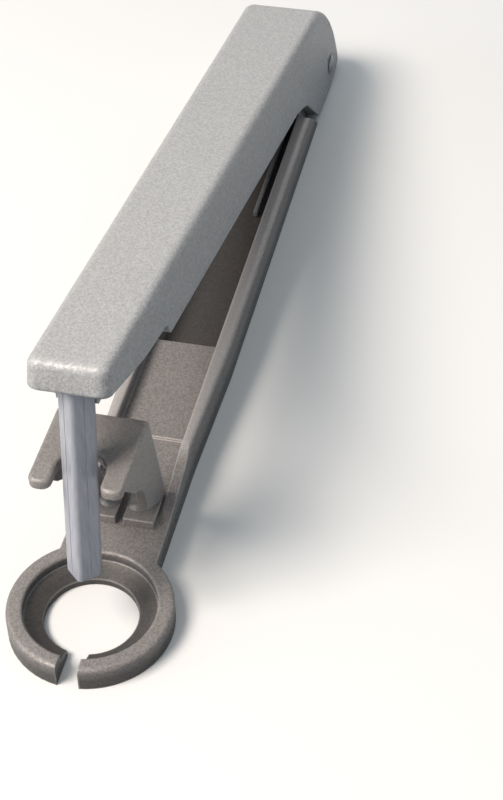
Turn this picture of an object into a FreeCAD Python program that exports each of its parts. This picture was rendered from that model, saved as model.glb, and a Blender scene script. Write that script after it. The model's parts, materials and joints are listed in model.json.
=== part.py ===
import FreeCAD, Part
import math
import os
import re
import Sketcher
from FreeCAD import Placement, Rotation, Vector

# Cherry pitter with lever. Millimetres, +X towards the cherry cup, +Z up.
# The origin lies on the resting plane, midway between the hinge axis and the cup axis.
# The upper lever is drawn level in its own frame, with the hinge axis through its origin,
# and its Placement tilts it to the open position.

DRIVING_SIZES = [
    ("reach", 151.5, "hinge axis to cup axis"),
    ("hinge_height", 5.5, "hinge axis above the table"),
    ("open_tilt", 11.6, "tilt of the upper lever as it stands, degrees"),
    ("wide_tilt", 18.4, "tilt at the opening stop, degrees"),
    ("arm_width", 17.3, "lower lever over its rims"),
    ("neck_width", 15.7, "lower lever over its rims behind the ring"),
    ("neck_rear", 58.0, "where the arm starts to narrow, to cup axis"),
    ("rim_height", 7.5, "top of the rims"),
    ("rim_wall", 2.6, "rim thickness"),
    ("deck_height", 4.65, "raised floor near the cup"),
    ("deck_rear", 60.3, "raised floor's rear edge to cup axis"),
    ("deck_step", 36.6, "small step in the raised floor to cup axis"),
    ("cup_radius", 13.0, "cup ring, outside"),
    ("cup_wall", 2.6, "cup ring wall"),
    ("cup_height", 4.2, "cup ring height"),
    ("seat_radius", 7.4, "pit hole radius"),
    ("seat_edge", 1.2, "height of the seat at the pit hole"),
    ("seat_rise", 2.4, "height of the seat at the ring wall"),
    ("cup_slot", 3.4, "slot in the front of the ring"),
    ("ramp_top", 34.0, "where the narrow part begins and the rims start down, to cup axis"),
    ("ramp_foot", 17.5, "where the rims reach the ring, to cup axis"),
    ("lug_width", 12.2, "over both hinge lugs"),
    ("lug_wall", 1.8, "thickness of a hinge lug"),
    ("lug_radius", 5.0, "hinge lug radius"),
    ("punch_lead", 0.3, "punch axis at the nose, ahead of the cup axis"),
    ("nose_front", 4.2, "face of the nose ahead of the punch axis"),
    ("lever_top", 15.7, "top face above the hinge axis"),
    ("roof", 2.2, "roof thickness of the upper lever"),
    ("lever_wall", 2.0, "skirt thickness of the upper lever"),
    ("nose_width", 11.9, "top of the nose"),
    ("tail_width", 15.6, "top over the hinge"),
    ("skirt_flare", 1.1, "how far each skirt leans out down to the ears"),
    ("skirt_rear_level", 2.4, "skirt's lower edge behind, above the hinge axis"),
    ("skirt_front_level", 4.9, "skirt's lower edge in front, above the hinge axis"),
    ("nose_length", 30.0, "shallow nose ahead of the deep skirt"),
    ("nose_rear_level", 7.3, "nose underside at the skirt's end, above the hinge axis"),
    ("nose_bend", 12.0, "where the nose underside turns up, behind the face"),
    ("nose_bend_level", 8.5, "nose underside at that bend"),
    ("nose_level", 10.8, "nose underside at its face"),
    ("nose_block", 10.0, "solid length of the nose"),
    ("top_round", 1.35, "rounding of the top edges"),
    ("top_rear", 12.5, "rear end of the flat top"),
    ("tail_reach", 9.0, "rounded tail behind the hinge axis"),
    ("tail_lip", 1.0, "tail's lip, which meets the heel, below the hinge axis"),
    ("ear_depth", 6.4, "ear below the hinge axis"),
    ("ear_toe", 12.5, "lower front corner of the ear"),
    ("ear_front", 24.0, "upper front corner of the ear"),
    ("ear_notch", 0.5, "that corner above the hinge axis"),
    ("punch_lean", 2.9, "backward lean of the punch, degrees"),
    ("punch_length", 34.1, "punch below the nose"),
    ("punch_side", 4.25, "side of the square punch"),
    ("punch_corner", 0.8, "rounded corner of the punch"),
    ("punch_flute", 1.4, "width of the flute along each side of the punch"),
    ("flute_depth", 0.15, "depth of a flute"),
    ("punch_grip", 4.4, "punch held in the nose"),
    ("web_half", 4.9, "half width of the web behind the punch"),
    ("web_height", 2.9, "height of that web below the nose"),
    ("web_thickness", 3.4, "thickness of that web"),
    ("bridge_width", 14.2, "stripper over the bends at the top"),
    ("foot_width", 11.3, "stripper over its feet, between the rims"),
    ("sheet", 1.6, "stripper sheet thickness"),
    ("fork_height", 31.3, "top of the fork above the table"),
    ("fork_front", 1.0, "prong tips ahead of the cup axis"),
    ("fork_rear", 14.0, "rear edge of the fork plate to cup axis"),
    ("fork_slot", 7.4, "slot between the prongs"),
    ("slot_centre", 2.6, "centre of the slot's round end to cup axis"),
    ("foot_rear", 24.0, "rear of the stripper's feet to cup axis"),
    ("foot_front", 16.6, "front of the stripper's feet to cup axis"),
    ("foot_bend", 2.4, "length of wall bent over into each foot"),
    ("foot_flange", 3.4, "width of each inward foot"),
    ("arch_reach", 13.4, "where the wall's lower edge meets the cherry's room, to cup axis"),
    ("arch_level", 12.4, "height of that point"),
    ("cherry_height", 12.9, "centre of a seated cherry"),
    ("cherry_room", 12.6, "radius kept free around a cherry"),
    ("rivet_diameter", 2.0, "stripper rivets"),
    ("rivet_head", 3.6, "rivet head diameter"),
    ("rivet_dome", 1.0, "rivet head height"),
    ("pin_diameter", 3.0, "hinge pin"),
    ("pin_head", 4.2, "riveted pin end"),
    ("pin_dome", 0.6, "riveted pin end, proud of the ear"),
    ("sleeve_diameter", 4.4, "spacer sleeve on the pin"),
    ("wire", 1.0, "spring wire"),
    ("coil_radius", 2.95, "spring coil, to the middle of the wire"),
    ("coil_pitch", 1.45, "spring pitch"),
    ("whole_turns", 4, "whole turns between the legs"),
    ("lower_leg", 50.0, "spring leg on the channel floor"),
    ("upper_leg", 50.0, "spring leg under the roof"),
    ("running_gap", 0.05, "radial gap of a turning fit"),
    ("fixed_gap", 0.02, "radial gap of a fastened fit"),
    ("part_gap", 0.3, "gap between parts that move past each other"),
]

doc = FreeCAD.newDocument("CherryPitter")
sheet = doc.addObject("Spreadsheet::Sheet", "Sizes")
for row, (alias, value, meaning) in enumerate(DRIVING_SIZES, start=1):
    sheet.set("A%d" % row, meaning)
    sheet.set("B%d" % row, str(value))
    sheet.setAlias("B%d" % row, alias)
doc.recompute()


def size(formula):
    """The text of a formula with each size name tied to its spreadsheet cell."""
    return re.sub(r"[a-z_]+", lambda word: CELLS.get(word.group(), word.group()), formula)


def number(formula):
    """The value of a formula of size names."""
    value = sheet.evalExpression(size(formula))
    return float(getattr(value, "Value", value))


def bind(target, prop, formula):
    """Tie a property to a formula of size names."""
    target.setExpression(prop, size(formula))


CELLS = {alias: "Sizes." + alias for alias, value, meaning in DRIVING_SIZES}
HINGE_X = "( - reach / 2 )"
CUP_X = "( reach / 2 )"
FLOOR = "( hinge_height - coil_radius - wire / 2 - part_gap )"
LUG_GAP = "( lug_width / 2 - lug_wall )"
EAR_INSIDE = "( lug_width / 2 + part_gap )"
LEVER_LENGTH = "( reach + punch_lead + nose_front )"
SKIRT_FRONT = "( %s - nose_length )" % LEVER_LENGTH
NOSE_REAR = "( %s + 1.2 * lever_wall )" % SKIRT_FRONT
PUNCH_REACH = "( reach + punch_lead )"
ROOT_LEVEL = "( nose_level - ( nose_level - nose_bend_level ) * nose_front / nose_bend )"
SWING = "( lug_radius + 2 * part_gap )"
CUT = 60.0

# Tilts and reaches at the ends of the travel. The nose comes down on the fork's rear edge,
# and the tail's lip comes down on the heel.
WIDE = "( wide_tilt * 1 deg )"
FORK_RISE = "( fork_height + part_gap - hinge_height )"
FORK_REACH = "( reach - fork_rear )"
NOSE_SLOPE = "( ( nose_bend_level - nose_rear_level ) / ( %s - nose_bend - %s ) )" % (LEVER_LENGTH, NOSE_REAR)
NOSE_LINE = "( ( nose_rear_level - %s * %s ) / ( 1 + %s ^ 2 ) ^ 0.5 )" % (NOSE_SLOPE, NOSE_REAR, NOSE_SLOPE)
SHUT = "( atan( %s / %s ) - atan%s - asin( %s / ( %s ^ 2 + %s ^ 2 ) ^ 0.5 ) )" % (
    FORK_RISE, FORK_REACH, NOSE_SLOPE, NOSE_LINE, FORK_RISE, FORK_REACH)
HEEL_LENGTH = "( tail_reach * cos%s )" % WIDE
HEEL_HEIGHT = "( hinge_height - tail_reach * sin%s - tail_lip * cos%s - part_gap )" % (WIDE, WIDE)
RECESS_FOOT = "( ear_toe * cos%s + ear_depth * sin%s + 2 * part_gap )" % (WIDE, WIDE)
RECESS_FOOT_LEVEL = "( hinge_height + ear_toe * sin%s - ear_depth * cos%s )" % (SHUT, SHUT)
RECESS_TOP = "( ear_front * cos%s + 2 * part_gap )" % SHUT
RECESS_TOP_LEVEL = "( hinge_height + ear_front * sin%s )" % SHUT


def new_body(label):
    body = doc.addObject("PartDesign::Body", label)
    body.Label = label
    return body


def place(body, reach, height, lean="0"):
    """Put a body at a point of the upper lever's frame, tilted with the lever."""
    body.Placement = Placement(Vector(), Rotation(Vector(0, -1, 0), 1))
    tilt = "( open_tilt * 1 deg )"
    bind(body, "Placement.Base.x", "%s + %s * cos( %s ) - %s * sin( %s )" % (HINGE_X, reach, tilt, height, tilt))
    bind(body, "Placement.Base.z", "hinge_height + %s * sin( %s ) + %s * cos( %s )" % (reach, tilt, height, tilt))
    bind(body, "Placement.Rotation.Angle", "open_tilt - %s" % lean)


def new_sketch(body, name, role, offset=None):
    """A sketch on one of the body's own origin planes, moved along the plane's normal."""
    sketch = body.newObject("Sketcher::SketchObject", name)
    plane = [item for item in body.Origin.OriginFeatures if item.Role == role][0]
    sketch.AttachmentSupport = [(plane, "")]
    sketch.MapMode = "FlatFace"
    if offset is not None:
        bind(sketch, "AttachmentOffset.Base.z", offset)
    return sketch


def fix_point(sketch, geometry, end, x, y):
    """Tie both coordinates of a sketch point to formulas."""
    for kind, formula, axis in (("DistanceX", x, -2), ("DistanceY", y, -1)):
        if formula == "0":
            sketch.addConstraint(Sketcher.Constraint("PointOnObject", geometry, end, axis))
            continue
        fixed = Sketcher.Constraint(kind, -1, 1, geometry, end, number(formula))
        index = sketch.addConstraint(fixed)
        bind(sketch, "Constraints[%d]" % index, formula)


def dome_crest(start, finish):
    """A point halfway along the arc that joins two points with its centre on the vertical axis."""
    rise = 2 * (start.y - finish.y)
    centre = Vector(0, (start.dot(start) - finish.dot(finish)) / rise, 0)
    middle = (start - centre) + (finish - centre)
    return centre + middle.normalize() * (start - centre).Length


def outline(sketch, corners):
    """A closed outline. A corner is (x, y), or (x, y, via_x, via_y) when an arc
    through the via point leaves it instead of a straight line, or (x, y, "dome")
    when an arc centred on the vertical axis leaves it."""
    points = [Vector(number(corner[0]), number(corner[1]), 0) for corner in corners]
    first_edge = sketch.GeometryCount
    ends = []
    for index, corner in enumerate(corners):
        start = points[index]
        finish = points[(index + 1) % len(points)]
        if len(corner) == 2:
            sketch.addGeometry(Part.LineSegment(start, finish), False)
            ends.append((1, 2))
            continue
        if corner[2] == "dome":
            via = dome_crest(start, finish)
        else:
            via = Vector(number(corner[2]), number(corner[3]), 0)
        left_turn = (via - start).cross(finish - via).z > 0
        arc = Part.Arc(start, via, finish) if left_turn else Part.Arc(finish, via, start)
        sketch.addGeometry(arc, False)
        ends.append((1, 2) if left_turn else (2, 1))
    for index in range(len(corners)):
        after = (index + 1) % len(corners)
        sketch.addConstraint(Sketcher.Constraint(
            "Coincident", first_edge + index, ends[index][1], first_edge + after, ends[after][0]))
    for index, corner in enumerate(corners):
        fix_point(sketch, first_edge + index, ends[index][0], corner[0], corner[1])
        if len(corner) == 3:
            sketch.addConstraint(Sketcher.Constraint("PointOnObject", first_edge + index, 3, -2))
        if len(corner) == 4:
            via = Vector(number(corner[2]), number(corner[3]), 0)
            mark = sketch.addGeometry(Part.Point(via), True)
            sketch.addConstraint(Sketcher.Constraint("PointOnObject", mark, 1, first_edge + index))
            fix_point(sketch, mark, 1, corner[2], corner[3])


def rectangle(sketch, left, right, bottom, top):
    outline(sketch, [(left, bottom), (right, bottom), (right, top), (left, top)])


def circle(sketch, x, y, radius):
    """A full circle with its centre and radius tied to formulas."""
    shape = Part.Circle(Vector(number(x), number(y), 0), Vector(0, 0, 1), number(radius))
    ring = sketch.addGeometry(shape, False)
    fix_point(sketch, ring, 3, x, y)
    index = sketch.addConstraint(Sketcher.Constraint("Radius", ring, number(radius)))
    bind(sketch, "Constraints[%d]" % index, radius)


def extrude(body, kind, name, sketch, length, symmetric=False, reverse=False):
    """A Pad or a Pocket of a sketch."""
    feature = body.newObject("PartDesign::" + kind, name)
    feature.Profile = sketch
    feature.Type = "Length"
    bind(feature, "Length", length)
    feature.Midplane = symmetric
    feature.Reversed = reverse
    body.Tip = feature
    doc.recompute()
    return feature


def revolve(body, kind, name, sketch):
    """A Revolution or a Groove of a sketch about its own vertical axis."""
    feature = body.newObject("PartDesign::" + kind, name)
    feature.Profile = sketch
    feature.ReferenceAxis = (sketch, ["V_Axis"])
    feature.Angle = 360
    body.Tip = feature
    doc.recompute()
    return feature


def loft(body, kind, name, first, last):
    """A ruled loft between two sketches."""
    feature = body.newObject("PartDesign::" + kind, name)
    feature.Profile = first
    feature.Sections = [last]
    feature.Ruled = True
    body.Tip = feature
    doc.recompute()
    return feature


def round_edges(body, name, radius, wanted):
    """A Fillet on every edge of the body whose middle and length suit the test."""
    base = body.Tip
    names = []
    for index, edge in enumerate(base.Shape.Edges, start=1):
        box = edge.BoundBox
        if wanted(box.Center, edge, box):
            names.append("Edge%d" % index)
    feature = body.newObject("PartDesign::Fillet", name)
    feature.Base = (base, names)
    bind(feature, "Radius", radius)
    body.Tip = feature
    doc.recompute()
    return feature


def near(value, formula, slack=0.02):
    return abs(value - number(formula)) < slack


def build_lower_lever():
    """The open channel with the deck, the cup ring and the hinge lugs."""
    body = new_body("lower_lever")
    half = "( arm_width / 2 )"
    neck = "( neck_width / 2 )"
    arm = new_sketch(body, "ArmPlan", "XY_Plane")
    outline(arm, [
        (HINGE_X, "0 - " + half),
        (CUP_X + " - neck_rear", "0 - " + half),
        (CUP_X + " - ramp_top", "0 - " + neck),
        (CUP_X, "0 - " + neck),
        (CUP_X, neck),
        (CUP_X + " - ramp_top", neck),
        (CUP_X + " - neck_rear", half),
        (HINGE_X, half),
    ])
    extrude(body, "Pad", "Arm", arm, "rim_height")
    cut_channel(body)
    cut_ear_recess(body, "Right", False)
    cut_ear_recess(body, "Left", True)
    lugs = new_sketch(body, "LugSide", "XZ_Plane")
    outline(lugs, [
        (HINGE_X + " - " + HEEL_LENGTH, "0"),
        (HINGE_X + " + " + RECESS_FOOT + " + 1", "0"),
        (HINGE_X + " + " + RECESS_FOOT + " + 1", "rim_height"),
        (HINGE_X + " + ( lug_radius ^ 2 - ( rim_height - hinge_height ) ^ 2 ) ^ 0.5", "rim_height",
         HINGE_X, "hinge_height + lug_radius"),
        (HINGE_X + " - ( lug_radius ^ 2 - ( hinge_height - %s ) ^ 2 ) ^ 0.5" % HEEL_HEIGHT, HEEL_HEIGHT),
        (HINGE_X + " - " + HEEL_LENGTH, HEEL_HEIGHT),
    ])
    extrude(body, "Pad", "Lugs", lugs, "lug_width", symmetric=True)
    ramp = new_sketch(body, "RampSide", "XZ_Plane")
    outline(ramp, [
        (CUP_X + " - ramp_top", "rim_height + 1"),
        (CUP_X + " - ramp_top", "rim_height"),
        (CUP_X + " - ramp_foot", "cup_height"),
        (CUP_X + " + cup_radius", "cup_height"),
        (CUP_X + " + cup_radius", "rim_height + 1"),
    ])
    extrude(body, "Pocket", "Ramp", ramp, "arm_width + 4", symmetric=True)
    ring = new_sketch(body, "RingPlan", "XY_Plane")
    circle(ring, CUP_X, "0", "cup_radius")
    extrude(body, "Pad", "Ring", ring, "cup_height")
    cut_levels(body, [
        ("LugSlot", HINGE_X + " - %s - 1" % HEEL_LENGTH, HINGE_X + " + %s + 2" % RECESS_FOOT, FLOOR, LUG_GAP),
    ])
    cut_seat(body)
    bore = new_sketch(body, "PinBore", "XZ_Plane")
    circle(bore, HINGE_X, "hinge_height", "pin_diameter / 2 + running_gap")
    extrude(body, "Pocket", "Bore", bore, "arm_width", symmetric=True)
    rivets = new_sketch(body, "RivetHoles", "XY_Plane", "0 - 1")
    for side in ("0 - ", ""):
        circle(rivets, RIVET_X, side + RIVET_Y, "rivet_diameter / 2 + fixed_gap")
    extrude(body, "Pocket", "RivetBores", rivets, "rim_height + 1", reverse=True)
    round_ring(body)
    return body


def cut_ear_recess(body, name, left):
    """The stepped-in side that lets an ear of the upper lever swing."""
    side = new_sketch(body, name + "RecessSide", "XZ_Plane", "( lug_width / 2 )" if left else "0 - lug_width / 2")
    outline(side, [
        (HINGE_X + " - 2", "0 - 1"),
        (HINGE_X + " + " + RECESS_FOOT, "0 - 1"),
        (HINGE_X + " + " + RECESS_FOOT, RECESS_FOOT_LEVEL),
        (HINGE_X + " + " + RECESS_TOP, RECESS_TOP_LEVEL),
        (HINGE_X + " - 2", RECESS_TOP_LEVEL),
    ])
    extrude(body, "Pocket", name + "Recess", side, "arm_width", reverse=left)


def cut_levels(body, levels):
    """Pockets open at the top: name, rear end, front end, floor height, half width."""
    for name, rear, front, level, side in levels:
        plan = new_sketch(body, name + "Plan", "XY_Plane", level)
        rectangle(plan, rear, front, "0 - " + side, side)
        extrude(body, "Pocket", name, plan, str(CUT), reverse=True)


def cut_channel(body):
    """The deep channel and the two levels of the deck, with rounded corners and rims."""
    inner = "( arm_width / 2 - rim_wall )"
    cut_levels(body, [
        ("Channel", HINGE_X + " + " + RECESS_FOOT, CUP_X + " - deck_rear", FLOOR, inner),
        ("Deck", CUP_X + " - deck_rear - 1", CUP_X + " - deck_step + 1", "deck_height", inner),
        ("FrontDeck", CUP_X + " - deck_step", CUP_X + " - seat_radius / 2", "cup_height", inner),
    ])

    def along_channel(centre, edge, box):
        return near(abs(centre.y), inner) and near(centre.z, FLOOR) and box.XLength > 10

    def outer_rims(centre, edge, box):
        beside = abs(centre.y) > number("arm_width / 2 - rim_wall / 2")
        return beside and near(centre.z, "rim_height") and box.XLength > 10

    def inner_rims(centre, edge, box):
        return near(abs(centre.y), inner) and near(centre.z, "rim_height") and box.XLength > 10

    round_edges(body, "ChannelRound", "rim_wall * 0.6", along_channel)
    round_edges(body, "OuterRimRound", "rim_wall * 0.42", outer_rims)
    round_edges(body, "InnerRimRound", "rim_wall * 0.15", inner_rims)


def cut_seat(body):
    """The dished seat, the pit hole and the slot in the front of the ring."""
    seat = new_sketch(body, "SeatProfile", "XZ_Plane")
    inner = "( cup_radius - cup_wall )"
    outline(seat, [
        (CUP_X, "0 - 1"),
        (CUP_X + " + seat_radius", "0 - 1"),
        (CUP_X + " + seat_radius", "seat_edge"),
        (CUP_X + " + " + inner, "seat_rise"),
        (CUP_X + " + " + inner, "rim_height + 1"),
        (CUP_X, "rim_height + 1"),
    ])
    axis = seat.addGeometry(Part.LineSegment(Vector(number(CUP_X), 0, 0), Vector(number(CUP_X), 5, 0)), True)
    fix_point(seat, axis, 1, CUP_X, "0")
    fix_point(seat, axis, 2, CUP_X, "seat_rise")
    groove = body.newObject("PartDesign::Groove", "Seat")
    groove.Profile = seat
    groove.ReferenceAxis = (seat, ["Axis0"])
    groove.Angle = 360
    body.Tip = groove
    doc.recompute()
    slot = new_sketch(body, "SlotPlan", "XY_Plane", "0 - 1")
    rectangle(slot, CUP_X, CUP_X + " + cup_radius + 1", "0 - cup_slot / 2", "cup_slot / 2")
    extrude(body, "Pocket", "Slot", slot, "cup_height + 2", reverse=True)


def round_ring(body):
    """Rounded upper edges of the cup ring."""

    def on_top(edge, radius, centre):
        if not near(centre.z, "cup_height") or edge.Curve.TypeId != "Part::GeomCircle":
            return False
        return near(edge.Curve.Radius, radius)

    round_edges(body, "RingRound", "cup_wall * 0.3", lambda centre, edge, box: (
        on_top(edge, "cup_radius", centre)))
    round_edges(body, "CupRound", "cup_wall * 0.16", lambda centre, edge, box: (
        on_top(edge, "cup_radius - cup_wall", centre)))


RIVET_X = "( reach / 2 - ( foot_rear + foot_front ) / 2 )"
RIVET_Y = "( foot_width / 2 - sheet - foot_flange / 2 )"


def build_upper_lever():
    """The inverted channel with its nose block and the two ears."""
    body = new_body("upper_lever")
    place(body, "0", "0")
    depth = "( lever_top + ear_depth + 1 )"
    rear = "( 0 - tail_reach - 1 )"
    rear_half = "( tail_width / 2 + ( tail_width - nose_width ) / 2 * ( tail_reach + 1 ) / %s )" % LEVER_LENGTH
    sections = []
    for name, at, top_half in (("Rear", rear, rear_half), ("Front", LEVER_LENGTH, "( nose_width / 2 )")):
        section = new_sketch(body, "Outer" + name, "YZ_Plane", at)
        outline(section, [
            ("0 - " + top_half + " - skirt_flare", "lever_top - " + depth),
            (top_half + " + skirt_flare", "lever_top - " + depth),
            (top_half, "lever_top"),
            ("0 - " + top_half, "lever_top"),
        ])
        sections.append(section)
    loft(body, "AdditiveLoft", "Outer", sections[0], sections[1])
    profile = new_sketch(body, "SideProfile", "XZ_Plane")
    rectangle(profile, "0 - tail_reach - 5", LEVER_LENGTH + " + 5", "0 - ear_depth - 5", "lever_top + 5")
    outline(profile, [
        (LEVER_LENGTH, "nose_level"),
        (LEVER_LENGTH, "lever_top"),
        ("top_rear", "lever_top", "top_rear * 0.08", "lever_top * 0.69"),
        ("0 - tail_reach", "0"),
        ("0 - tail_reach", "0 - ear_depth * 0.28", "0 - tail_reach / 2", "0 - ear_depth * 0.58"),
        ("0", "0 - ear_depth * 0.81"),
        ("ear_toe", "0 - ear_depth"),
        ("ear_front", "ear_notch", "ear_front * 1.17", "( ear_notch + skirt_rear_level ) / 2"),
        ("ear_front * 1.4", "skirt_rear_level"),
        (SKIRT_FRONT, "skirt_front_level"),
        (SKIRT_FRONT + " + lever_wall * 0.4", "nose_rear_level - lever_wall * 0.8",
         SKIRT_FRONT + " + lever_wall * 0.68", "nose_rear_level - lever_wall * 0.27"),
        (NOSE_REAR, "nose_rear_level"),
        (LEVER_LENGTH + " - nose_bend", "nose_bend_level"),
    ])
    extrude(body, "Pocket", "Side", profile, str(CUT), symmetric=True)
    hollow_upper_lever(body, depth)
    round_upper_lever(body)
    add_web(body)
    bore = new_sketch(body, "EarBore", "XZ_Plane")
    circle(bore, "0", "0", "pin_diameter / 2 + fixed_gap")
    extrude(body, "Pocket", "Bore", bore, str(CUT), symmetric=True)
    cut_punch_socket(body)
    return body


def hollow_upper_lever(body, depth):
    """The space between the skirts and the rounder space around the hinge lugs."""
    sections = []
    rear = "( top_rear + 1.5 )"
    front = "( %s - nose_block )" % LEVER_LENGTH
    for name, at in (("Rear", rear), ("Front", front)):
        outer_half = "( tail_width / 2 - ( tail_width - nose_width ) / 2 * %s / %s )" % (at, LEVER_LENGTH)
        top_half = "( %s - lever_wall )" % outer_half
        section = new_sketch(body, "Inner" + name, "YZ_Plane", at)
        outline(section, [
            ("0 - " + top_half + " - skirt_flare", "lever_top - " + depth),
            (top_half + " + skirt_flare", "lever_top - " + depth),
            (top_half, "lever_top - roof"),
            ("0 - " + top_half, "lever_top - roof"),
        ])
        sections.append(section)
    loft(body, "SubtractiveLoft", "Inner", sections[0], sections[1])
    room = new_sketch(body, "LugRoomSide", "XZ_Plane")
    outline(room, [
        ("0 - tail_reach - 2", "0 - ear_depth - 2"),
        ("ear_front * 1.4", "0 - ear_depth - 2"),
        ("ear_front * 1.4", "skirt_front_level"),
        ("top_rear * 1.24", "lever_top - roof"),
        ("top_rear", "lever_top - roof"),
        (SWING + " * 0.3", SWING + " * 1.05"),
        ("0 - " + SWING + " * 0.174", SWING + " * 0.985",
         "0 - " + SWING + " * 0.875", SWING + " * 0.485"),
        ("0 - ( %s ^ 2 - tail_lip ^ 2 ) ^ 0.5" % SWING, "0 - tail_lip"),
        ("0 - tail_reach - 2", "0 - tail_lip"),
    ])
    extrude(body, "Pocket", "LugRoom", room, "2 * " + EAR_INSIDE, symmetric=True)


def round_upper_lever(body):
    """Soft top edges and nose corners."""

    def top_edges(centre, edge, box):
        return near(centre.z, "lever_top") and box.XLength > 50

    def nose_corners(centre, edge, box):
        return near(centre.x, LEVER_LENGTH) and box.ZLength > 2

    def front_edges(centre, edge, box):
        on_face = near(centre.x, LEVER_LENGTH, 0.3) and box.YLength > 3
        return on_face and near(centre.z, "lever_top")

    def tail_edges(centre, edge, box):
        beside = abs(centre.y) > number("tail_width / 2 - 0.5") and centre.x < number("top_rear")
        return beside and centre.z > number("tail_reach / 3") and box.XLength > number("tail_reach")

    def chin_edge(centre, edge, box):
        on_face = near(centre.x, LEVER_LENGTH, 0.3) and box.YLength > 3
        return on_face and near(centre.z, "nose_level")

    round_edges(body, "NoseCorners", "nose_width * 0.16", nose_corners)
    round_edges(body, "TopRound", "top_round", lambda centre, edge, box: (
        top_edges(centre, edge, box) or front_edges(centre, edge, box) or tail_edges(centre, edge, box)))
    round_edges(body, "ChinRound", "top_round * 0.6", chin_edge)


def punch_outline(sketch, half, corner):
    """A square with rounded corners whose diagonals lie along the sketch's axes."""
    tip = "( %s * 2 ^ 0.5 - %s * ( 2 ^ 0.5 - 1 ) )" % (half, corner)
    near_tip = "( %s * 2 ^ 0.5 - %s * 2 ^ 0.5 / 2 )" % (half, corner)
    side = "( %s * 2 ^ 0.5 / 2 )" % corner
    outline(sketch, [
        (near_tip, "0 - " + side, tip, "0"),
        (near_tip, side),
        (side, near_tip, "0", tip),
        ("0 - " + side, near_tip),
        ("0 - " + near_tip, side, "0 - " + tip, "0"),
        ("0 - " + near_tip, "0 - " + side),
        ("0 - " + side, "0 - " + near_tip, "0", "0 - " + tip),
        (side, "0 - " + near_tip),
    ])


def add_web(body):
    """The web under the nose, hollowed at both sides, that backs the punch."""
    web = new_sketch(body, "WebFace", "YZ_Plane")
    web.AttachmentOffset = Placement(Vector(), Rotation(Vector(1, 0, 0), 1))
    bind(web, "AttachmentOffset.Base.y", ROOT_LEVEL)
    bind(web, "AttachmentOffset.Base.z", PUNCH_REACH + " - punch_corner / 2")
    bind(web, "AttachmentOffset.Rotation.Angle", "punch_lean")
    foot = "( punch_side * 0.73 )"
    outline(web, [
        ("0 - " + foot, "0 - web_height"),
        (foot, "0 - web_height", foot + " + ( web_half - " + foot + " ) * 0.3", "0 - web_height * 0.4"),
        ("web_half", "0"),
        ("web_half", "1"),
        ("0 - web_half", "1"),
        ("0 - web_half", "0", "0 - %s - ( web_half - %s ) * 0.3" % (foot, foot), "0 - web_height * 0.4"),
    ])
    extrude(body, "Pad", "Web", web, "web_thickness", reverse=True)


def cut_punch_socket(body):
    """The blind square socket for the punch."""
    plane = body.newObject("PartDesign::Plane", "SocketPlane")
    xy_plane = [item for item in body.Origin.OriginFeatures if item.Role == "XY_Plane"][0]
    plane.AttachmentSupport = [(xy_plane, "")]
    plane.MapMode = "FlatFace"
    plane.AttachmentOffset = Placement(Vector(), Rotation(Vector(0, 1, 0), 1))
    bind(plane, "AttachmentOffset.Base.x", PUNCH_REACH)
    bind(plane, "AttachmentOffset.Base.z", ROOT_LEVEL)
    bind(plane, "AttachmentOffset.Rotation.Angle", "punch_lean")
    socket = body.newObject("Sketcher::SketchObject", "SocketPlan")
    socket.AttachmentSupport = [(plane, "")]
    socket.MapMode = "FlatFace"
    bind(socket, "AttachmentOffset.Base.z", "0 - web_height - 1")
    punch_outline(socket, "( punch_side / 2 + fixed_gap )", "punch_corner")
    extrude(body, "Pocket", "Socket", socket, "web_height + 1 + punch_grip + fixed_gap", reverse=True)


def across(out, along):
    """A point given by its distances out from, and along, a side of the punch."""
    return "( %s - %s ) / 2 ^ 0.5" % (out, along), "( %s + %s ) / 2 ^ 0.5" % (out, along)


def build_punch():
    """The square punch with a flute along each side, standing on one corner."""
    body = new_body("punch")
    place(body, PUNCH_REACH, ROOT_LEVEL, "punch_lean")
    section = new_sketch(body, "RodSection", "XY_Plane", "punch_grip")
    punch_outline(section, "( punch_side / 2 )", "punch_corner")
    extrude(body, "Pad", "Rod", section, "punch_grip + punch_length", reverse=True)

    round_edges(body, "TipRound", "punch_corner / 2", lambda centre, edge, box: (
        near(centre.z, "0 - punch_length")))
    flute = new_sketch(body, "FlutePlan", "XY_Plane", "0 - punch_length - 1")
    flat = "( punch_side / 2 )"
    beside = "( punch_flute / 2 )"
    outline(flute, [
        across(flat, "0 - " + beside) + across(flat + " - flute_depth", "0"),
        across(flat, beside),
        across(flat + " + 1", beside),
        across(flat + " + 1", "0 - " + beside),
    ])
    cut = extrude(body, "Pocket", "Flute", flute, "punch_length + punch_grip + 2", reverse=True)
    pattern = body.newObject("PartDesign::PolarPattern", "Flutes")
    pattern.Originals = [cut]
    pattern.Axis = (flute, ["N_Axis"])
    pattern.Angle = 360
    pattern.Occurrences = 4
    body.Tip = pattern
    doc.recompute()
    return body


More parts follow.
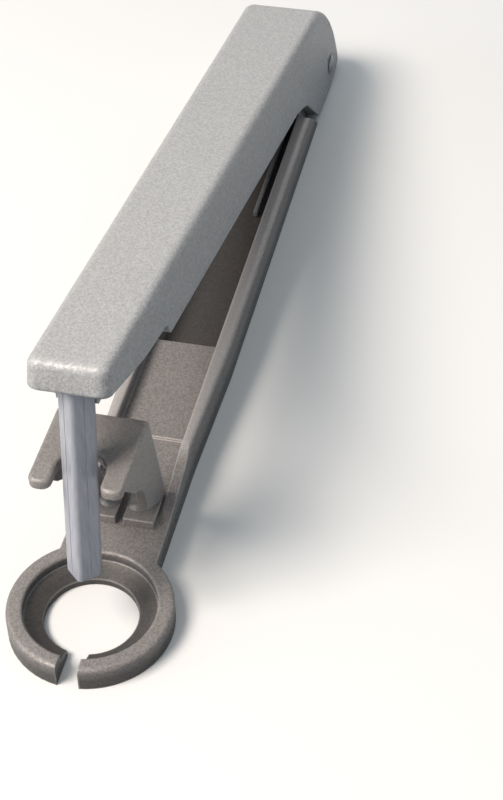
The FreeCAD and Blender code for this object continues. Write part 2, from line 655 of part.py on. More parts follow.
def build_stripper():
    """The folded bridge whose fork holds the cherry back while the punch withdraws."""
    body = new_body("stripper")
    half = "( bridge_width / 2 )"
    foot = "( foot_width / 2 )"
    inside = "( foot_width / 2 - sheet )"
    toe = "( foot_width / 2 - sheet - foot_flange )"
    section = new_sketch(body, "BridgeSection", "YZ_Plane", CUP_X + " - foot_rear")
    outline(section, [
        ("0 - " + foot, "cup_height"),
        ("0 - " + toe, "cup_height"),
        ("0 - " + toe, "cup_height + sheet"),
        ("0 - " + inside, "cup_height + sheet"),
        ("sheet - " + half, "fork_height - sheet"),
        (half + " - sheet", "fork_height - sheet"),
        (inside, "cup_height + sheet"),
        (toe, "cup_height + sheet"),
        (toe, "cup_height"),
        (foot, "cup_height"),
        (half, "fork_height"),
        ("0 - " + half, "fork_height"),
    ])
    extrude(body, "Pad", "Bridge", section, "foot_rear + fork_front")
    trim_bridge(body)
    slot = new_sketch(body, "SlotPlan", "XY_Plane", "fork_height + 1")
    reach_in = CUP_X + " - slot_centre"
    outline(slot, [
        (CUP_X + " + fork_front + 1", "0 - fork_slot / 2"),
        (CUP_X + " + fork_front + 1", "fork_slot / 2"),
        (reach_in, "fork_slot / 2", reach_in + " - fork_slot / 2", "0"),
        (reach_in, "0 - fork_slot / 2"),
    ])
    extrude(body, "Pocket", "Slot", slot, "sheet + 2")
    holes = new_sketch(body, "RivetHoles", "XY_Plane", "cup_height - 1")
    for side in ("0 - ", ""):
        circle(holes, RIVET_X, side + RIVET_Y, "rivet_diameter / 2 + fixed_gap")
    extrude(body, "Pocket", "RivetBores", holes, "sheet + 2", reverse=True)

    def prong_tips(centre, edge, box):
        return near(centre.x, CUP_X + " + fork_front") and box.ZLength > number("sheet") * 0.9

    def bend_edges(centre, edge, box):
        return near(abs(centre.y), half) and near(centre.z, "fork_height") and box.XLength > 5

    round_edges(body, "ProngRound", "( bridge_width - fork_slot ) / 4 * 0.8", prong_tips)
    round_edges(body, "BendRound", "sheet * 0.35", bend_edges)
    return body


def trim_bridge(body):
    """The side view: sloping rear edge, and an arch in front that clears the cherry."""
    rear = new_sketch(body, "RearTrim", "XZ_Plane")
    outline(rear, [
        (CUP_X + " - foot_rear - 2", "cup_height + sheet"),
        (CUP_X + " - foot_rear", "cup_height + sheet"),
        (CUP_X + " - fork_rear", "fork_height"),
        (CUP_X + " - fork_rear", "fork_height + 2"),
        (CUP_X + " - foot_rear - 2", "fork_height + 2"),
    ])
    extrude(body, "Pocket", "RearSlope", rear, "bridge_width + 4", symmetric=True)
    front = new_sketch(body, "FrontTrim", "XZ_Plane")
    room = "cherry_room"
    outline(front, [
        (CUP_X + " - foot_rear + foot_bend", "cup_height + sheet"),
        (CUP_X + " + fork_front + 2", "cup_height + sheet"),
        (CUP_X + " + fork_front + 2", "fork_height - sheet"),
        (CUP_X + " + fork_front - 2", "fork_height - sheet"),
        (CUP_X + " - %s * 0.5" % room, "cherry_height + %s * 0.866" % room,
         CUP_X + " - %s * 0.866" % room, "cherry_height + %s * 0.5" % room),
        (CUP_X + " - arch_reach", "arch_level"),
    ])
    extrude(body, "Pocket", "Arch", front, "bridge_width + 4", symmetric=True)
    toes = new_sketch(body, "ToeTrim", "XY_Plane", "cup_height + sheet")
    rectangle(toes, CUP_X + " - foot_front", CUP_X + " + fork_front + 2",
              "0 - bridge_width / 2 - 2", "bridge_width / 2 + 2")
    extrude(body, "Pocket", "Toes", toes, "sheet + 1")


def build_rivets():
    """Two rivets that hold the stripper's feet on the deck, one solid each."""
    solids = []
    for side in (-1, 1):
        place_on_deck = Vector(number(RIVET_X), side * number(RIVET_Y), 0)
        seat = number("cup_height + sheet + fixed_gap")
        head = number("rivet_head / 2")
        dome = number("rivet_dome")
        shank = number("rivet_diameter / 2")
        crest = dome_crest(Vector(head, seat, 0), Vector(0, seat + dome, 0))
        curve = Part.Arc(Vector(head, 0, seat), Vector(crest.x, 0, crest.y), Vector(0, 0, seat + dome))
        edges = [
            Part.LineSegment(Vector(0, 0, 0), Vector(shank, 0, 0)).toShape(),
            Part.LineSegment(Vector(shank, 0, 0), Vector(shank, 0, seat)).toShape(),
            Part.LineSegment(Vector(shank, 0, seat), Vector(head, 0, seat)).toShape(),
            curve.toShape(),
            Part.LineSegment(Vector(0, 0, seat + dome), Vector(0, 0, 0)).toShape(),
        ]
        face = Part.Face(Part.Wire(edges))
        solid = face.revolve(Vector(0, 0, 0), Vector(0, 0, 1), 360)
        solid.translate(place_on_deck)
        solids.append(solid)
    rivets = doc.addObject("Part::Feature", "stripper_rivets")
    rivets.Label = "stripper_rivets"
    rivets.Shape = Part.Compound(solids)
    return rivets


def build_hinge_pin():
    """The pin through both ears, with its ends riveted over."""
    body = new_body("hinge_pin")
    place(body, "0", "0")
    draft = "( skirt_flare / ( lever_top + ear_depth + 1 ) )"
    taper = "( ( tail_width - nose_width ) / 2 / %s )" % LEVER_LENGTH
    half_span = "( tail_width / 2 + %s * ( lever_top + pin_head / 2 ) + %s * pin_head / 2 + fixed_gap )" % (
        draft, taper)
    profile = new_sketch(body, "PinProfile", "XY_Plane")
    outline(profile, [
        ("0", "0 - " + half_span + " - pin_dome", "dome"),
        ("pin_head / 2", "0 - " + half_span),
        ("pin_diameter / 2", "0 - " + half_span),
        ("pin_diameter / 2", half_span),
        ("pin_head / 2", half_span, "dome"),
        ("0", half_span + " + pin_dome"),
    ])
    revolve(body, "Revolution", "Pin", profile)
    return body


def build_sleeve():
    """The spacer sleeve that keeps the coil centred on the pin."""
    body = new_body("spring_sleeve")
    tube = new_sketch(body, "TubeSection", "XZ_Plane")
    circle(tube, HINGE_X, "hinge_height", "sleeve_diameter / 2")
    circle(tube, HINGE_X, "hinge_height", "pin_diameter / 2 + running_gap")
    extrude(body, "Pad", "Tube", tube, "2 * ( %s - part_gap / 2 )" % LUG_GAP, symmetric=True)
    return body


def arc_between(start, corner, finish):
    """The arc that is tangent to both legs of a corner with legs of equal length."""
    middle = (start + finish) * 0.5
    rise = (corner - middle).Length
    half_chord = (finish - start).Length / 2
    quarter = math.atan2(rise, half_chord) / 2
    crest = middle + (corner - middle) * (half_chord * math.tan(quarter) / rise)
    return Part.Arc(start, crest, finish).toShape()


def biarc(start, start_way, finish, finish_way):
    """Two arcs that join two points smoothly in the given directions."""
    chord = finish - start
    both = start_way + finish_way
    turn = 2 * (1 - start_way.dot(finish_way))
    reach = (math.sqrt(chord.dot(both) ** 2 + turn * chord.dot(chord)) - chord.dot(both)) / turn
    first = start + start_way * reach
    second = finish - finish_way * reach
    joint = (first + second) * 0.5
    return [arc_between(start, first, joint), arc_between(joint, second, finish)]


def spring_route():
    """Edges of the spring's centre line, and sample points on its coil."""
    radius = number("coil_radius")
    pitch = number("coil_pitch")
    hinge = Vector(number(HINGE_X), 0, number("hinge_height"))
    tip_height = number("lever_top - roof - wire / 2 - part_gap")
    leg_slope = math.atan2(tip_height - radius, number("upper_leg"))
    upper_way = leg_slope + math.radians(number("open_tilt"))
    sweep = 2 * math.pi * number("whole_turns") + math.pi - upper_way
    width = pitch * sweep / (2 * math.pi)

    def place_at(turned):
        angle = -math.pi / 2 - turned
        y = width / 2 - pitch * turned / (2 * math.pi)
        return hinge + Vector(radius * math.cos(angle), y, radius * math.sin(angle))

    def way_at(turned):
        angle = -math.pi / 2 - turned
        at_leg = turned == 0 or turned == sweep
        sideways = 0 if at_leg else -pitch / (2 * math.pi)
        return Vector(math.sin(angle) * radius, sideways, -math.cos(angle) * radius).normalize()

    steps = math.ceil(sweep / (math.pi / 2))
    marks = [sweep * step / steps for step in range(steps + 1)]
    edges = []
    lower_end = place_at(0) - way_at(0) * number("lower_leg")
    edges.append(Part.LineSegment(lower_end, place_at(0)).toShape())
    for before, after in zip(marks, marks[1:]):
        edges.extend(biarc(place_at(before), way_at(before), place_at(after), way_at(after)))
    upper_end = place_at(sweep) + way_at(sweep) * number("upper_leg")
    edges.append(Part.LineSegment(place_at(sweep), upper_end).toShape())
    samples = [place_at(sweep * index / 400) for index in range(401)]
    return edges, samples, sweep


def build_return_spring():
    """The torsion spring on the sleeve: one wire, with a leg on each lever."""
    edges, samples, sweep = spring_route()
    route = Part.Wire(edges)
    start = edges[0].Vertexes[0].Point
    way = edges[0].tangentAt(edges[0].FirstParameter)
    section = Part.Wire(Part.Circle(start, way, number("wire / 2")).toShape())
    shell = Part.BRepOffsetAPI.MakePipeShell(route)
    shell.add(section)
    shell.build()
    shell.makeSolid()
    spring = doc.addObject("Part::Feature", "return_spring")
    spring.Label = "return_spring"
    spring.Shape = shell.shape()
    gap = least_gap(samples, sweep)
    print("return_spring least gap to itself %.2f mm" % gap)
    return spring


def least_gap(samples, sweep):
    """The smallest distance between the wire's surfaces on different turns."""
    turn = int(len(samples) * math.pi / sweep)
    distances = []
    for index in range(0, len(samples), 4):
        for other in range(index + turn, len(samples), 4):
            distances.append((samples[index] - samples[other]).Length)
    return min(distances) - number("wire")


sub_parts = [
    build_lower_lever(),
    build_upper_lever(),
    build_punch(),
    build_stripper(),
    build_rivets(),
    build_hinge_pin(),
    build_sleeve(),
    build_return_spring(),
]

doc.recompute()
for item in doc.Objects:
    if "Invalid" in item.State or "Error" in item.State:
        raise RuntimeError("%s: %s" % (item.Name, item.State))
os.makedirs("parts", exist_ok=True)
for part in sub_parts:
    if part.Shape.isNull() or not part.Shape.isValid():
        raise RuntimeError("%s has no valid shape" % part.Label)
    part.Shape.exportStep("parts/%s.step" % part.Label)
    print("%s solids %d volume %.1f" % (part.Label, len(part.Shape.Solids), part.Shape.Volume))
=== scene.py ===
# %% [markdown]
# # A cherry pitter with lever
# The tool is two die-cast levers that share a hinge pin. The lower one ends in a slotted
# ring, the upper one carries a square punch that comes down into it, and a folded bridge
# with a fork strips the punch as it withdraws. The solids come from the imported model, so
# this script gives them their finish, winds the spring and lights the scene.

import json
import math

import bpy
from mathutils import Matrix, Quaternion, Vector


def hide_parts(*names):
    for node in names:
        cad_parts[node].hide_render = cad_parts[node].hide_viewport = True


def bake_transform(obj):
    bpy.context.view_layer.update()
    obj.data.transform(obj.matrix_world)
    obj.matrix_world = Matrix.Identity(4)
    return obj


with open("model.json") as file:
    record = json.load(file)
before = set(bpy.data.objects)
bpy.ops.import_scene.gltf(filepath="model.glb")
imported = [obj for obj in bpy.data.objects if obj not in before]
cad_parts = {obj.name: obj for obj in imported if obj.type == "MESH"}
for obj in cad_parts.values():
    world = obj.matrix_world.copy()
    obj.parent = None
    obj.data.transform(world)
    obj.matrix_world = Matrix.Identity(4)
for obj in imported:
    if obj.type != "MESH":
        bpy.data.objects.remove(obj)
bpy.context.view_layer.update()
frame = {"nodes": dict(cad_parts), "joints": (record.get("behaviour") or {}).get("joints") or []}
nodes = frame["nodes"]
hinge = Vector(frame["joints"][0]["pos_m"])
print("nodes:", sorted(nodes))

# %% [markdown]
# ## The camera
# The photograph was taken from in front of the ring and above it, a little to one side.
# A camera with that place, direction, roll and focal length puts the model's edges within
# a few pixels of where the photograph shows them. The frame is 503 by 800, taller than
# wide, so the sensor is fitted to its height.

# %% Camera
MM = 0.001
CAMERA_PLACE = Vector((236.3, 64.7, 211.3)) * MM
CAMERA_HEADING = math.radians(193.506)
CAMERA_PITCH = math.radians(43.868)
CAMERA_ROLL = math.radians(-1.231)
SENSOR_HEIGHT = 36.0
PHOTO_HEIGHT = 800
FOCAL_PIXELS = 1742.7


def add_camera():
    data = bpy.data.cameras.new("photo_camera")
    data.sensor_fit = "VERTICAL"
    data.sensor_height = SENSOR_HEIGHT
    data.lens = FOCAL_PIXELS * SENSOR_HEIGHT / PHOTO_HEIGHT
    data.clip_start = 0.01
    camera = bpy.data.objects.new("photo_camera", data)
    bpy.context.scene.collection.objects.link(camera)
    look = Vector((
        math.cos(CAMERA_HEADING) * math.cos(CAMERA_PITCH),
        math.sin(CAMERA_HEADING) * math.cos(CAMERA_PITCH),
        -math.sin(CAMERA_PITCH),
    ))
    camera.location = CAMERA_PLACE
    camera.rotation_mode = "QUATERNION"
    camera.rotation_quaternion = look.to_track_quat("-Z", "Y") @ Quaternion((0, 0, 1), CAMERA_ROLL)
    bpy.context.scene.camera = camera
    return camera


camera = add_camera()
print("camera at", [round(v, 3) for v in camera.location])

# %% [markdown]
# ## Tools for materials
# Colours are picked as sRGB hex values, the way a paint chart gives them, and turned to
# the linear values that the renderer works in. One helper adds a node to a tree, sets its
# inputs, links what feeds them and gives a colour ramp its stops. Patterns are sized in
# millimetres: the objects are in metres, so a texture's scale is a thousand over the size
# of one of its marks. A Mix node has sockets for every kind of data, so its colour sockets
# are picked by their number.

# %% Colour and node helpers
MIX_FIRST = 6
MIX_SECOND = 7
MIX_RESULT = 2


def paint(code):
    """An sRGB hex colour as linear RGBA."""
    channels = [int(code[i:i + 2], 16) / 255 for i in (1, 3, 5)]
    linear = [c / 12.92 if c <= 0.04045 else ((c + 0.055) / 1.055) ** 2.4 for c in channels]
    return (*linear, 1.0)


def two_tones(stops, dark, light):
    """A colour ramp's two stops, from a dark paint to a light one."""
    return list(zip(stops, (paint(dark), paint(light))))


def per_mm(size_mm):
    """The texture scale whose marks are size_mm across."""
    return 1 / (size_mm * MM)


def add_node(tree, kind, inputs=None, stops=(), **settings):
    """A node of a kind, with its settings, its input values and links, and a ramp's stops."""
    node = tree.nodes.new(kind)
    for name, value in settings.items():
        setattr(node, name, value)
    for name, value in (inputs or {}).items():
        socket = node.inputs[name]
        if isinstance(value, bpy.types.NodeSocket):
            tree.links.new(value, socket)
        else:
            socket.default_value = value
    for index, (position, colour) in enumerate(stops):
        elements = node.color_ramp.elements
        if index == len(elements):
            elements.new(position)
        elements[index].position = position
        elements[index].color = colour
    return node


def new_material(name):
    """An empty material with its tree, its shader and its object coordinates."""
    material = bpy.data.materials.new(name)
    material.use_nodes = True
    tree = material.node_tree
    tree.nodes.clear()
    shader = add_node(tree, "ShaderNodeBsdfPrincipled")
    add_node(tree, "ShaderNodeOutputMaterial", {"Surface": shader.outputs["BSDF"]})
    place = add_node(tree, "ShaderNodeTexCoord").outputs["Object"]
    return material, tree, shader, place

# %% [markdown]
# ## Coated die-cast aluminium
# Both levers are cast, tumbled and sprayed with a thin silver lacquer: aluminium flakes in
# a clear binder. Such a coat isn't a mirror. It is bright where light falls on it from
# above and dark grey on its upright sides, with single flakes that catch the light. A cell
# texture gives the flakes, each with its own tone, gloss and share of metal. The flakes are
# finer than a pixel, so they are drawn a quarter of a millimetre across.

# %% Flakes
FLAKE_MM = 0.26


def flake_pattern(tree, place):
    """Two random values for each flake."""
    cells = add_node(tree, "ShaderNodeTexVoronoi", {
        "Vector": place, "Scale": per_mm(FLAKE_MM), "Randomness": 1.0})
    flake = add_node(tree, "ShaderNodeSeparateColor", {"Color": cells.outputs["Color"]})
    return flake.outputs["Red"], flake.outputs["Green"]

# %% [markdown]
# Handled edges wear a little brighter. A Bevel node finds them by how far its
# softened normal turns away from the face's own. The arm also gets painted shade: its colour
# darkens near the table and on the floor of the deep channel. A painted highlight lightens
# the crests of its rims.

# %% Rubbed edges
EDGE_MM = 0.45
EDGE_SHARE = 0.75
FLAT_COSINE = 0.99
SHARP_COSINE = 0.8


def rubbed_edge(tree):
    """0 on flat faces and up to EDGE_SHARE on edges, with the softened normal."""
    soft = add_node(tree, "ShaderNodeBevel", {"Radius": EDGE_MM * MM}, samples=4)
    face = add_node(tree, "ShaderNodeNewGeometry")
    flatness = add_node(tree, "ShaderNodeVectorMath", {
        0: soft.outputs["Normal"], 1: face.outputs["Normal"]}, operation="DOT_PRODUCT")
    edge = add_node(tree, "ShaderNodeMapRange", {
        "Value": flatness.outputs["Value"], "From Min": FLAT_COSINE, "From Max": SHARP_COSINE,
        "To Min": 0.0, "To Max": EDGE_SHARE})
    return edge.outputs["Result"], soft.outputs["Normal"]

# %% Painted shade and highlight by height
# Heights and shares of the painted shade low on the arm and the painted highlight on its rims' crests.
SHADE_DARKEST_MM = 1.8
SHADE_ENDS_MM = 4.1
SHADE_DARKEST_SHARE = 0.28
CREST_FOOT_MM = 6.6
CREST_TOP_MM = 7.3
CREST_HIGHLIGHT_SHARE = 0.4


def painted_shade_and_highlight(tree, place, colour, wear_and_highlight):
    """The arm's colour, with painted shade low down and a painted highlight on the rims' crests."""
    # Painted shade: below 4.1 mm the colour darkens, down to 0.28 of itself near the table and on the
    # channel floor.
    height = add_node(tree, "ShaderNodeSeparateXYZ", {"Vector": place}).outputs["Z"]
    painted_shade = add_node(tree, "ShaderNodeMapRange", {
        "Value": height, "From Min": SHADE_DARKEST_MM * MM, "From Max": SHADE_ENDS_MM * MM,
        "To Min": SHADE_DARKEST_SHARE, "To Max": 1.0})
    shaded = add_node(tree, "ShaderNodeVectorMath", {
        0: colour, "Scale": painted_shade.outputs["Result"]}, operation="SCALE")
    # Painted highlight: between 6.6 and 7.3 mm up, the rims' crests are lightened toward the edge
    # colour.
    crest_highlight = add_node(tree, "ShaderNodeMapRange", {
        "Value": height, "From Min": CREST_FOOT_MM * MM, "From Max": CREST_TOP_MM * MM,
        "To Min": 0.0, "To Max": CREST_HIGHLIGHT_SHARE})
    highlighted = add_node(tree, "ShaderNodeMix", {
        "Factor": crest_highlight.outputs["Result"], MIX_FIRST: shaded.outputs["Vector"],
        MIX_SECOND: paint(wear_and_highlight)}, data_type="RGBA")
    return highlighted.outputs[MIX_RESULT]

# %% [markdown]
# The lacquer puts these together. A very weak cloud stands for the coat's uneven thickness,
# and a fine bump for the orange peel that a sprayed coat dries with.

# %% Silver lacquer
CLOUD_MM = 16.0
CLOUD_RANGE = (0.42, 0.58)
TONE_STOPS = (0.15, 0.85)
GLOSS_SPREAD = (-0.1, 0.15)
METAL_SPREAD = (-0.1, 0.1)
PEEL_MM = 0.55
PEEL_DEPTH_MM = 0.05


def silver_lacquer(name, dark, light, wear_and_highlight, grain, metal=0.12, rough=0.45, paints_shade_and_highlight=False):
    """A lacquer between two tones. Grain is how far single flakes stray from the mean."""
    material, tree, shader, place = new_material(name)
    tone, gloss = flake_pattern(tree, place)
    cloud = add_node(tree, "ShaderNodeTexNoise", {
        "Vector": place, "Scale": per_mm(CLOUD_MM), "Detail": 3.0, "Roughness": 0.5})
    faint = add_node(tree, "ShaderNodeMapRange", {
        "Value": cloud.outputs["Fac"], "To Min": CLOUD_RANGE[0], "To Max": CLOUD_RANGE[1]})
    speckle = add_node(tree, "ShaderNodeMapRange", {
        "Value": tone, "To Min": -grain / 2, "To Max": grain / 2})
    mixed = add_node(tree, "ShaderNodeMath", {
        0: faint.outputs["Result"], 1: speckle.outputs["Result"]}, operation="ADD")
    tones = add_node(tree, "ShaderNodeValToRGB", {
        "Fac": mixed.outputs["Value"]}, two_tones(TONE_STOPS, dark, light))
    base = tones.outputs["Color"]
    # On the arm: painted shade low down and a painted highlight on the rims' crests.
    if paints_shade_and_highlight:
        base = painted_shade_and_highlight(tree, place, base, wear_and_highlight)
    edge, soft_normal = rubbed_edge(tree)
    # The edge colour serves both the edge wear and, on the arm, the painted highlight on the crests.
    coat = add_node(tree, "ShaderNodeMix", {
        "Factor": edge, MIX_FIRST: base, MIX_SECOND: paint(wear_and_highlight)}, data_type="RGBA")
    tree.links.new(coat.outputs[MIX_RESULT], shader.inputs["Base Color"])
    shine = add_node(tree, "ShaderNodeMapRange", {
        "Value": gloss, "To Min": rough + GLOSS_SPREAD[0], "To Max": rough + GLOSS_SPREAD[1]})
    tree.links.new(shine.outputs["Result"], shader.inputs["Roughness"])
    leafing = add_node(tree, "ShaderNodeMapRange", {
        "Value": tone, "To Min": metal + METAL_SPREAD[0], "To Max": metal + METAL_SPREAD[1]})
    tree.links.new(leafing.outputs["Result"], shader.inputs["Metallic"])
    peel = add_node(tree, "ShaderNodeTexNoise", {
        "Vector": place, "Scale": per_mm(PEEL_MM), "Detail": 3.0, "Roughness": 0.6})
    bump = add_node(tree, "ShaderNodeBump", {
        "Strength": 0.4, "Distance": PEEL_DEPTH_MM * MM, "Height": peel.outputs["Fac"],
        "Normal": soft_normal})
    tree.links.new(bump.outputs["Normal"], shader.inputs["Normal"])
    return material

# %% [markdown]
# ## Bare metals and the plastic sleeve
# The punch is a drawn aluminium rod, satin and slightly blue. Fine lines run along such a
# rod, and a noise that is stretched upright stands for them. Pin, rivets and spring wire
# are plain satin metal, with the same noise unstretched. The sleeve is moulded white
# acetal, matt with a faint skin.

# %% Drawn and satin metals
LINE_STOPS = (0.3, 0.7)
LINE_GLOSS_SPREAD = (-0.08, 0.12)
LINE_DEPTH_MM = 0.03


def drawn_metal(name, dark, light, rough, line_mm, metal=0.8, stretch=(1, 1, 1), turn=(0, 0, 0)):
    """A metal between two tones. Its marks are line_mm across, times stretch on each axis."""
    material, tree, shader, place = new_material(name)
    along = add_node(tree, "ShaderNodeMapping", {
        "Vector": place, "Rotation": turn, "Scale": [1 / times for times in stretch]})
    lines = add_node(tree, "ShaderNodeTexNoise", {
        "Vector": along.outputs["Vector"], "Scale": per_mm(line_mm), "Detail": 4.0, "Roughness": 0.6})
    tones = add_node(tree, "ShaderNodeValToRGB", {
        "Fac": lines.outputs["Fac"]}, two_tones(LINE_STOPS, dark, light))
    tree.links.new(tones.outputs["Color"], shader.inputs["Base Color"])
    gloss = add_node(tree, "ShaderNodeMapRange", {
        "Value": lines.outputs["Fac"],
        "To Min": rough + LINE_GLOSS_SPREAD[0], "To Max": rough + LINE_GLOSS_SPREAD[1]})
    tree.links.new(gloss.outputs["Result"], shader.inputs["Roughness"])
    bump = add_node(tree, "ShaderNodeBump", {
        "Strength": 0.2, "Distance": LINE_DEPTH_MM * MM, "Height": lines.outputs["Fac"]})
    tree.links.new(bump.outputs["Normal"], shader.inputs["Normal"])
    shader.inputs["Metallic"].default_value = metal
    return material

# %% Moulded plastic
SKIN_MM = 0.8
SKIN_STOPS = (0.3, 0.8)
SKIN_DEPTH_MM = 0.02


def moulded_plastic(name, dark, light):
    material, tree, shader, place = new_material(name)
    skin = add_node(tree, "ShaderNodeTexNoise", {
        "Vector": place, "Scale": per_mm(SKIN_MM), "Detail": 3.0})
    tones = add_node(tree, "ShaderNodeValToRGB", {
        "Fac": skin.outputs["Fac"]}, two_tones(SKIN_STOPS, dark, light))
    tree.links.new(tones.outputs["Color"], shader.inputs["Base Color"])
    bump = add_node(tree, "ShaderNodeBump", {
        "Strength": 0.3, "Distance": SKIN_DEPTH_MM * MM, "Height": skin.outputs["Fac"]})
    tree.links.new(bump.outputs["Normal"], shader.inputs["Normal"])
    shader.inputs["Roughness"].default_value = 0.55
    return material

# %% [markdown]
# ## Dressing the solids
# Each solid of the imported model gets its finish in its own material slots. The upper lever
# has the palest coat, the arm and the bridge a warmer and darker one. The lines on the
# punch are 25 times as long as they are wide. They run straight up, within nine degrees of
# the leaning punch: a Mapping node scales first and turns afterwards, so the turn moves
# the noise and leaves its lines upright.

# %% Finishes
UPRIGHT_LINES = (1, 1, 25)
PUNCH_LEAN = math.radians(8.7)

finishes = {
    "upper_lever": silver_lacquer(
        "silver_lacquer_lever", "#ababaa", "#d0cfce", "#e4e3e1", grain=0.62),
    # The arm's lacquer carries painted shade low down and a painted highlight on its rims' crests.
    "lower_lever": silver_lacquer(
        "silver_lacquer_arm", "#7a7674", "#a39d99", "#e0dad5", grain=0.6, metal=0.2, rough=0.42,
        paints_shade_and_highlight=True),
    "stripper": silver_lacquer(
        "silver_lacquer_bridge", "#85807d", "#aca6a1", "#d0cac5", grain=0.5, metal=0.3),
    "punch": drawn_metal(
        "drawn_aluminium", "#a9adb6", "#c4c6cd", rough=0.4, line_mm=0.5, metal=0.15,
        stretch=UPRIGHT_LINES, turn=(0, -PUNCH_LEAN, 0)),
    "stripper_rivets": drawn_metal(
        "rivet_aluminium", "#807d7a", "#a19e9a", rough=0.45, line_mm=0.4, metal=0.4),
    "hinge_pin": drawn_metal(
        "satin_steel", "#6b6f75", "#94989d", rough=0.38, line_mm=0.3),
    "spring_sleeve": moulded_plastic("white_acetal", "#c4c1ba", "#d8d6d0"),
}


def dress(piece, material):
    piece.data.materials.clear()
    piece.data.materials.append(material)


for name, material in finishes.items():
    dress(nodes[name], material)
print("dressed", len(finishes), "solids")

# %% [markdown]
# ## The return spring
# One wire, wound on the sleeve, with a leg in each lever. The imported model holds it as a
# rigid solid, which can't follow the lever. Here the wire's centre line comes from the
# winding's own sizes: a leg on the channel floor, a helix about the pin, and a leg under
# the roof of the upper lever. Geometry Nodes sweep a round section along that line.

# %% Centre line of the wire
WIRE_MM = 1.0
COIL_RADIUS_MM = 2.95
COIL_PITCH_MM = 1.45
WHOLE_TURNS = 4
LEG_MM = 50.0
LEG_SLOPE = math.radians(22.63)
STEPS_PER_TURN = 28
LEG_STEPS = 24


def spring_line():
    """Points of the centre line, from the lower leg's tip to the upper leg's tip."""
    sweep = 2 * math.pi * WHOLE_TURNS + math.pi - LEG_SLOPE
    width = COIL_PITCH_MM * sweep / (2 * math.pi)

    def coil_point(turned):
        angle = -math.pi / 2 - turned
        across = width / 2 - COIL_PITCH_MM * turned / (2 * math.pi)
        return Vector((COIL_RADIUS_MM * math.cos(angle), across, COIL_RADIUS_MM * math.sin(angle)))

    steps = round(STEPS_PER_TURN * sweep / (2 * math.pi))
    coil = [coil_point(sweep * step / steps) for step in range(steps + 1)]
    upper_way = Vector((math.cos(LEG_SLOPE), 0, math.sin(LEG_SLOPE)))
    shares = [step / LEG_STEPS for step in range(LEG_STEPS)]
    lower = [coil[0] + Vector((LEG_MM * (1 - share), 0, 0)) for share in shares]
    upper = [coil[-1] + upper_way * LEG_MM * (1 - share) for share in reversed(shares)]
    return [hinge + point * MM for point in lower + coil + upper]


line = spring_line()
print("wire centre line:", len(line), "points")

# %% Wire sweep tree


def wire_tree(finish):
    """Geometry Nodes that sweep a round section along a line of points."""
    tree = bpy.data.node_groups.new("wire_sweep", "GeometryNodeTree")
    tree.interface.new_socket("Line", in_out="INPUT", socket_type="NodeSocketGeometry")
    tree.interface.new_socket("Wire Radius", in_out="INPUT", socket_type="NodeSocketFloat")
    tree.interface.new_socket("Sides", in_out="INPUT", socket_type="NodeSocketInt")
    tree.interface.new_socket("Wire", in_out="OUTPUT", socket_type="NodeSocketGeometry")
    given = add_node(tree, "NodeGroupInput").outputs
    path = add_node(tree, "GeometryNodeMeshToCurve", {"Mesh": given["Line"]})
    section = add_node(tree, "GeometryNodeCurvePrimitiveCircle", {
        "Resolution": given["Sides"], "Radius": given["Wire Radius"]})
    swept = add_node(tree, "GeometryNodeCurveToMesh", {
        "Curve": path.outputs["Curve"], "Profile Curve": section.outputs["Curve"], "Fill Caps": True})
    real = add_node(tree, "GeometryNodeRealizeInstances", {"Geometry": swept.outputs["Mesh"]})
    finished = add_node(tree, "GeometryNodeSetMaterial", {
        "Geometry": real.outputs["Geometry"], "Material": finish})
    add_node(tree, "NodeGroupOutput", {"Wire": finished.outputs["Geometry"]})
    return tree


spring_wire = drawn_metal("spring_wire", "#8a8c90", "#c9cacc", rough=0.3, line_mm=0.3)
sweep_tree = wire_tree(spring_wire)
print("tree:", [item.name for item in sweep_tree.interface.items_tree])

# %% [markdown]
# The swept wire becomes a mesh of its own, and the rigid spring of the imported model is hidden.

# %% Wound spring
SECTION_SIDES = 14


def wind_spring():
    guide_mesh = bpy.data.meshes.new("spring_guide")
    guide_mesh.from_pydata(line, [(i, i + 1) for i in range(len(line) - 1)], [])
    guide = bpy.data.objects.new("spring_guide", guide_mesh)
    bpy.context.scene.collection.objects.link(guide)
    sweep = guide.modifiers.new("sweep", "NODES")
    sweep.node_group = sweep_tree
    sockets = {item.name: item.identifier for item in sweep_tree.interface.items_tree}
    sweep[sockets["Wire Radius"]] = WIRE_MM / 2 * MM
    sweep[sockets["Sides"]] = SECTION_SIDES
    evaluated = guide.evaluated_get(bpy.context.evaluated_depsgraph_get())
    mesh = bpy.data.meshes.new_from_object(evaluated)
    mesh.shade_smooth()
    wire = bpy.data.objects.new("spring_wire", mesh)
    bpy.context.scene.collection.objects.link(wire)
    bpy.data.objects.remove(guide)
    return wire


wire = wind_spring()
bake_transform(wire)
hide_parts("return_spring")
print("spring wire:", len(wire.data.polygons), "faces")

# %% [markdown]
# ## Floor and light
# The floor and the sky are pale where the camera or a reflection meets them. For the light
# that falls on the object, the floor is dark and the sky is bright overhead and blue near
# the horizon, so that upright faces stay darker than the tops. The floor lies a fiftieth
# of a millimetre below the arm, so that their faces don't coincide.

# %% Rays that see the background
PALE = "#f7f7f5"


def seen_ray(tree):
    """1 for camera, mirror and glass rays, 0 for the rays that light the object."""
    ray = add_node(tree, "ShaderNodeLightPath").outputs
    mirror = add_node(tree, "ShaderNodeMath", {
        0: ray["Is Glossy Ray"], 1: ray["Is Transmission Ray"]}, operation="MAXIMUM")
    seen = add_node(tree, "ShaderNodeMath", {
        0: ray["Is Camera Ray"], 1: mirror.outputs["Value"]}, operation="MAXIMUM")
    return seen.outputs["Value"]

# %% Floor
BOUNCE = "#26303a"
FLOOR_SIZE = 4.0
FLOOR_DROP_MM = 0.02


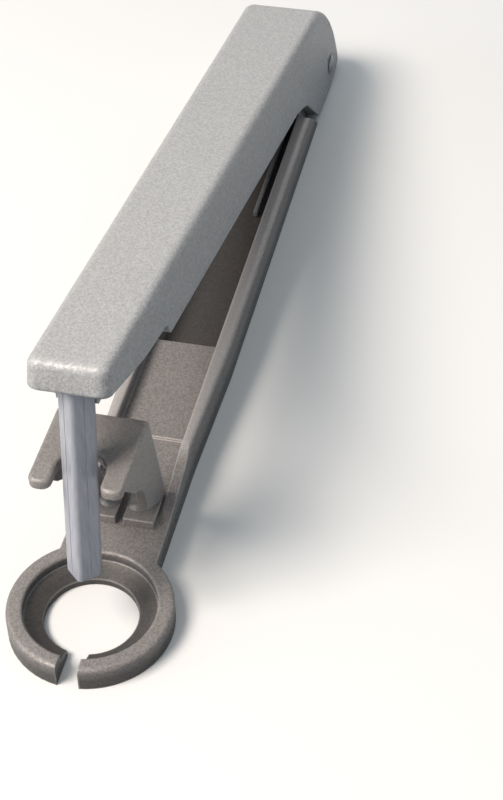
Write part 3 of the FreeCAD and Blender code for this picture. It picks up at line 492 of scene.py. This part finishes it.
def add_floor():
    bpy.ops.mesh.primitive_plane_add(size=FLOOR_SIZE, location=(0, 0, -FLOOR_DROP_MM * MM))
    floor = bpy.context.object
    floor.name = "floor"
    material, tree, shader = new_material("pale_card")[:3]
    card = add_node(tree, "ShaderNodeMix", {
        "Factor": seen_ray(tree), MIX_FIRST: paint(BOUNCE), MIX_SECOND: paint(PALE)}, data_type="RGBA")
    tree.links.new(card.outputs[MIX_RESULT], shader.inputs["Base Color"])
    shader.inputs["Roughness"].default_value = 0.9
    floor.data.materials.append(material)
    return floor


floor = add_floor()
print("floor:", round(floor.dimensions.x, 2), "m wide")

# %% [markdown]
# One wide lamp stands in front, high and to the left, and a weak one fills in from the
# left. Both are square panels, which give soft shadows, the first faintly warm and the
# second faintly blue.

# %% Lamps


def add_lamp(name, place, target, size, power, colour):
    """A rectangular lamp that points at a target, in metres and watts."""
    data = bpy.data.lights.new(name, "AREA")
    data.shape = "RECTANGLE"
    data.size = size[0]
    data.size_y = size[1]
    data.energy = power
    data.color = paint(colour)[:3]
    lamp = bpy.data.objects.new(name, data)
    bpy.context.scene.collection.objects.link(lamp)
    lamp.location = place
    lamp.rotation_euler = (Vector(target) - Vector(place)).to_track_quat("-Z", "Y").to_euler()
    return lamp


key = add_lamp(
    "key", place=(0.42, -0.42, 0.74), target=(0, 0, 0), size=(0.4, 0.4), power=8.6,
    colour="#fff5ec")
fill = add_lamp(
    "fill", place=(0.3, -0.6, 0.2), target=(0.06, 0, 0.02), size=(0.3, 0.3), power=0.7,
    colour="#f3f6ff")
print("lamps:", [(lamp.name, round(lamp.data.energy, 1)) for lamp in (key, fill)])

# %% Sky
SKY_STRENGTH = 0.8
SKY_STOPS = [(0.0, "#243d55"), (0.3, "#3d6080"), (0.7, "#aab2b9"), (1.0, "#f2f2f0")]


def light_sky():
    """A sky that is bright overhead, blue low down, and pale to the camera and to mirrors."""
    world = bpy.data.worlds.new("studio_sky")
    world.use_nodes = True
    tree = world.node_tree
    direction = add_node(tree, "ShaderNodeTexCoord").outputs["Generated"]
    height = add_node(tree, "ShaderNodeSeparateXYZ", {"Vector": direction}).outputs["Z"]
    sky = add_node(tree, "ShaderNodeValToRGB", {"Fac": height}, [
        (rise, paint(code)) for rise, code in SKY_STOPS])
    shown = add_node(tree, "ShaderNodeMix", {
        "Factor": seen_ray(tree), MIX_FIRST: sky.outputs["Color"], MIX_SECOND: paint(PALE)},
        data_type="RGBA")
    background = tree.nodes["Background"]
    tree.links.new(shown.outputs[MIX_RESULT], background.inputs["Color"])
    background.inputs["Strength"].default_value = SKY_STRENGTH
    bpy.context.scene.world = world


light_sky()
bpy.context.scene.view_settings.view_transform = "Standard"
print("view transform:", bpy.context.scene.view_settings.view_transform)
